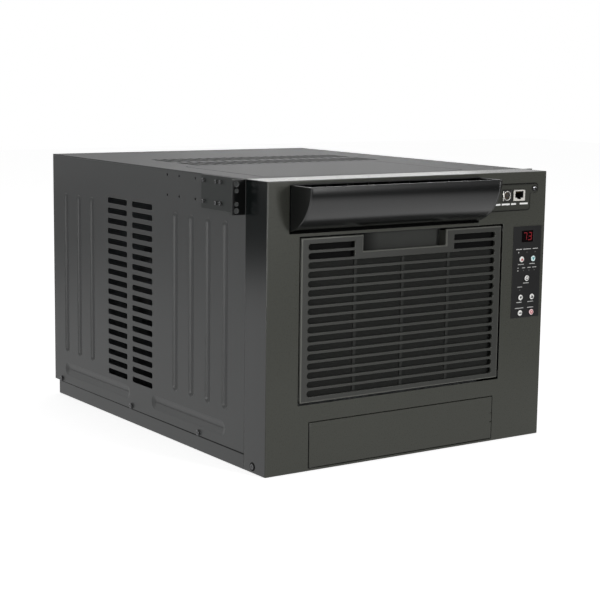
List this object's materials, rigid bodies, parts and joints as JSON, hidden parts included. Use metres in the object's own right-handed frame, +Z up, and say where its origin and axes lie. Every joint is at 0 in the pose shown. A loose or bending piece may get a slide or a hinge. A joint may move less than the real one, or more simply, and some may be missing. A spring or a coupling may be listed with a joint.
{
  "type": "rack air conditioner",
  "caption": "Rack-mount air conditioner: sheet-steel case with louvred sides, tilting top air hood, drop-down slotted intake door, service door, control pad, rack ears and rear exhaust.",
  "frame": {"origin": "bottom centre of the casing: on the underside of the base, halfway across its width and halfway along its depth without the hood", "axes": "+X to the right seen from the front, +Y from the front to the back, +Z up"},
  "size_m": [0.477, 0.6198, 0.3548],
  "materials": {
    "casing_paint": "fine textured dark grey powder coat",
    "bezel_paint": "fine textured dark olive grey powder coat",
    "door_plastic": "moulded, fine spark texture",
    "hood_plastic": "moulded, satin black",
    "overlay_film": "printed film, half gloss",
    "display_window": "dark window, gloss",
    "button_white": "moulded, half gloss",
    "button_red": "moulded, half gloss",
    "screw_zinc": "black zinc plate",
    "socket_shell": "bright nickel plate",
    "socket_black": "moulded, matt",
    "circuit_board": "solder resist",
    "galvanised": "zinc coated sheet",
    "duct_plastic": "moulded, matt",
    "filter_cloth": "woven filter net",
    "fin_aluminium": "mill finish fins",
    "copper": "drawn copper",
    "black_enamel": "gloss black enamel",
    "motor_steel": "turned and pressed steel",
    "grommet_rubber": "moulded rubber"
  },
  "bodies": {
    "case": {"accumulator": "black_enamel", "base_pan": "casing_paint", "blower_scroll": "duct_plastic", "bulkhead": "galvanised", "capillary_tube": "copper", "case_screws": "screw_zinc", "compressor": "black_enamel", "compressor_grommets": "grommet_rubber", "condenser_coil": "fin_aluminium", "control_board": "circuit_board", "control_box": "galvanised", "control_overlay": "overlay_film", "discharge_pipe": "copper", "display_module": "display_window", "door_pivot_lugs": "hood_plastic", "drip_tray": "duct_plastic", "evaporator_coil": "fin_aluminium", "fan_motor": "motor_steel", "fan_shroud": "galvanised", "filter_drier": "copper", "front_bezel": "bezel_paint", "hood_pivot_lugs": "hood_plastic", "interface_board": "circuit_board", "interface_plate": "bezel_paint", "liquid_pipe": "copper", "motor_bracket": "galvanised", "network_jack": "socket_shell", "outlet_duct": "duct_plastic", "outlet_vanes": "duct_plastic", "power_inlet": "socket_black", "rack_ear_left": "black_enamel", "rack_ear_right": "black_enamel", "rear_panel": "casing_paint", "run_capacitor": "fin_aluminium", "serial_socket": "socket_black", "service_pivot_lugs": "hood_plastic", "side_panel_left": "casing_paint", "side_panel_right": "casing_paint", "suction_pipe": "copper", "top_cover": "casing_paint", "top_panel": "casing_paint"},
    "hood": {"air_hood": "hood_plastic"},
    "intake_door": {"intake_door": "door_plastic", "filter_frame": "duct_plastic", "filter_mesh": "filter_cloth"},
    "service_door": {"service_door": "door_plastic"},
    "fan_set": {"fan_shaft": "motor_steel", "blower_wheel": "duct_plastic", "condenser_fan": "duct_plastic"},
    "button_cooler": {"button_cooler": "button_white"},
    "button_fan": {"button_fan": "button_white"},
    "button_mode": {"button_mode": "button_white"},
    "button_power": {"button_power": "button_red"},
    "button_sleep": {"button_sleep": "button_white"},
    "button_timer": {"button_timer": "button_white"},
    "button_warmer": {"button_warmer": "button_white"}
  },
  "joints": [
    {"name": "hood_tilt", "type": "hinge", "parent": "case", "child": "hood", "pos_m": [-0.042, -0.28325, 0.29746], "axis": [1, 0, 0], "range_deg": [0, 25]},
    {"name": "intake_door_drop", "type": "hinge", "parent": "case", "child": "intake_door", "pos_m": [-0.0137, -0.28225, 0.091], "axis": [1, 0, 0], "range_deg": [0, 85]},
    {"name": "service_door_swing", "type": "hinge", "parent": "case", "child": "service_door", "pos_m": [-0.1512, -0.28225, 0.032], "axis": [0, 0, -1], "range_deg": [0, 88]},
    {"name": "fan_spin", "type": "hinge", "parent": "case", "child": "fan_set", "pos_m": [-0.02, 0, 0.172], "axis": [0, 1, 0], "continuous": true},
    {"name": "button_cooler_press", "type": "slide", "parent": "case", "child": "button_cooler", "axis": [0, 1, 0], "range_m": [0, 0.0008], "stiffness_N_per_m": 800, "springref_m": -0.0006},
    {"name": "button_fan_press", "type": "slide", "parent": "case", "child": "button_fan", "axis": [0, 1, 0], "range_m": [0, 0.0008], "stiffness_N_per_m": 800, "springref_m": -0.0006},
    {"name": "button_mode_press", "type": "slide", "parent": "case", "child": "button_mode", "axis": [0, 1, 0], "range_m": [0, 0.0008], "stiffness_N_per_m": 800, "springref_m": -0.0006},
    {"name": "button_power_press", "type": "slide", "parent": "case", "child": "button_power", "axis": [0, 1, 0], "range_m": [0, 0.0008], "stiffness_N_per_m": 800, "springref_m": -0.0006},
    {"name": "button_sleep_press", "type": "slide", "parent": "case", "child": "button_sleep", "axis": [0, 1, 0], "range_m": [0, 0.0008], "stiffness_N_per_m": 800, "springref_m": -0.0006},
    {"name": "button_timer_press", "type": "slide", "parent": "case", "child": "button_timer", "axis": [0, 1, 0], "range_m": [0, 0.0008], "stiffness_N_per_m": 800, "springref_m": -0.0006},
    {"name": "button_warmer_press", "type": "slide", "parent": "case", "child": "button_warmer", "axis": [0, 1, 0], "range_m": [0, 0.0008], "stiffness_N_per_m": 800, "springref_m": -0.0006}
  ]
}
